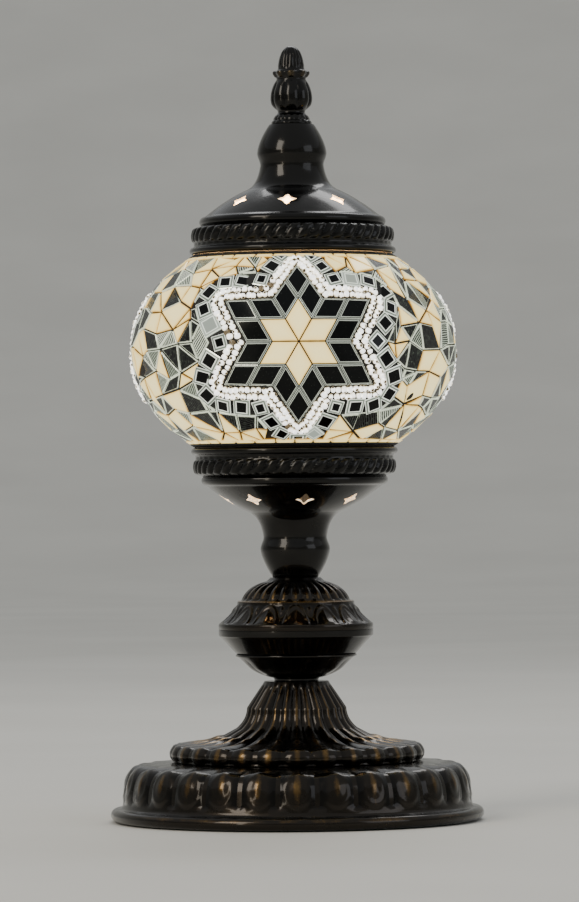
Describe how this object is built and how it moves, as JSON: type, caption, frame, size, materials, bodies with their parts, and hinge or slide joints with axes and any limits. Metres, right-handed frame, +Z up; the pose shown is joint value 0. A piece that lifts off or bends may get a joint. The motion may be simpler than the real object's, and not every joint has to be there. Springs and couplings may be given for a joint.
{
  "type": "mosaic glass table lamp",
  "caption": "Table lamp with a round mosaic glass globe between a pierced cup and a pierced cap, on a knobbed stem and a wide round lobed base.",
  "frame": {"origin": "centre of the underside, on the surface the lamp stands on", "axes": "+Z up along the stem; -Y is the front, where one star motif faces; the cord inlet is at +Y"},
  "size_m": [0.1824, 0.1824, 0.3788],
  "materials": {
    "antique_metal": "dark antique patina under gloss lacquer",
    "cover_steel": "black painted sheet",
    "felt": "dark green felt",
    "black_plastic": "matte moulded plastic",
    "black_rubber": "soft black rubber",
    "brass_parts": "bright machined brass",
    "zinc_steel": "zinc plated",
    "clear_glass": "clear blown glass",
    "black_grout": "black grout, slightly rough",
    "mirror_glass": "silvered glass with clear cut edges",
    "cream_glass": "opal cream glass, lit from behind",
    "green_glass": "clear cut glass with a green edge",
    "bead_glass": "clear glass seed beads",
    "bulb_glass": "opal glass, lit",
    "filament": "glowing wire"
  },
  "bodies": {
    "stand": {"felt_pad": "felt", "base_cover": "cover_steel", "base_foot": "antique_metal", "cord_gland": "black_plastic", "gland_nut": "black_plastic", "fluted_bell": "antique_metal", "knob_bowl": "antique_metal", "knob_cover": "antique_metal", "lower_cup": "antique_metal", "globe_seat": "black_rubber", "threaded_pipe": "brass_parts", "bottom_washer": "zinc_steel", "bottom_nut": "brass_parts", "neck_washer": "zinc_steel", "neck_nut": "brass_parts", "holder_base": "black_plastic", "holder_sleeve": "black_plastic", "holder_thread": "brass_parts", "holder_contact": "brass_parts", "terminal_screws": "zinc_steel"},
    "globe": {"globe_glass": "clear_glass", "mosaic_bed": "black_grout", "star_mirrors": "mirror_glass", "star_creams": "cream_glass", "square_mirrors": "mirror_glass", "bead_rows": "bead_glass", "cream_fillers": "cream_glass", "clear_fillers": "green_glass"},
    "cap": {"cap_shell": "antique_metal", "finial": "antique_metal", "finial_washer": "zinc_steel", "finial_nut": "brass_parts"},
    "bulb": {"bulb_glass": "bulb_glass", "bulb_cap": "zinc_steel", "bulb_insulator": "black_plastic", "bulb_contact": "zinc_steel", "bulb_stem": "clear_glass", "bulb_filament": "filament"}
  },
  "joints": [
    {"name": "globe_lift", "type": "slide", "parent": "stand", "child": "globe", "axis": [0, 0, 1], "range_m": [0, 0.09]},
    {"name": "cap_lift", "type": "slide", "parent": "globe", "child": "cap", "axis": [0, 0, 1], "range_m": [0, 0.06]},
    {"name": "bulb_turn", "type": "hinge", "parent": "stand", "child": "bulb", "pos_m": [0, 0, 0.18], "axis": [0, 0, 1], "range_deg": [0, 1080]}
  ]
}
